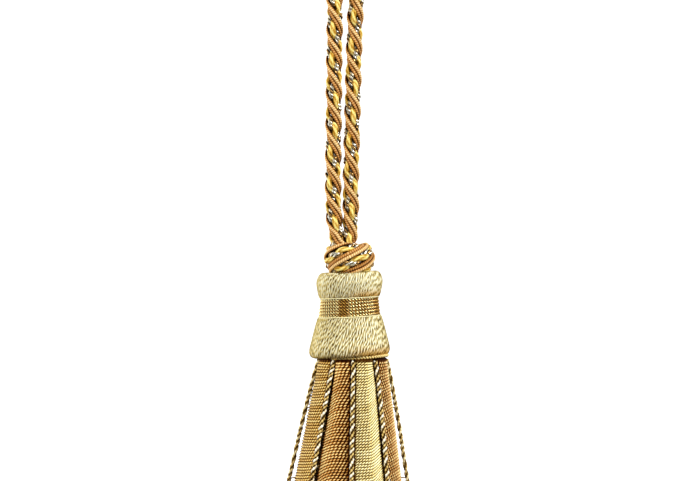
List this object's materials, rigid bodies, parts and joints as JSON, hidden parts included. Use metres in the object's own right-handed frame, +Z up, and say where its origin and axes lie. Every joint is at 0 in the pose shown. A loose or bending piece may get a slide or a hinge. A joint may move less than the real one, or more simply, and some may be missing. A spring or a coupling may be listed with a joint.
{
  "type": "silk tassel",
  "caption": "Hanging silk tassel: twisted rope loop, knot, thread-covered head with gold waist band, flared skirt of wound strips with fine edge cords.",
  "frame": {"origin": "inside top of the rope loop, where the tassel hangs from a peg, key or holdback", "axes": "+Z up along the hanging tassel, -Y the front that faces the viewer, +X to the viewer's right"},
  "size_m": [0.0464, 0.0458, 0.242],
  "materials": {
    "rope_silk": "twisted silk gimp in peach and yellow gold with silver metallic yarn, lustrous",
    "head_silk": "twisted ivory silk threads, lustrous",
    "gold_cord": "fine twisted metallic gold cord, bright",
    "honey_silk": "crosswise wound honey gold silk, lustrous",
    "bronze_silk": "crosswise wound bronze silk, lustrous",
    "champagne_silk": "crosswise wound champagne silk, lustrous",
    "edge_cord": "fine two-ply cord of gold metallic and cream yarn with olive shade"
  },
  "bodies": {
    "root": {"cord_loop": "rope_silk", "knot": "rope_silk", "head": "head_silk", "waist_band": "gold_cord", "strip_1_honey": "honey_silk", "strip_2_bronze": "bronze_silk", "strip_3_champagne": "champagne_silk", "strip_4_bronze": "bronze_silk", "strip_5_honey": "honey_silk", "strip_6_bronze": "bronze_silk", "strip_7_champagne": "champagne_silk", "strip_8_bronze": "bronze_silk", "skirt_cords": "edge_cord"}
  },
  "joints": []
}
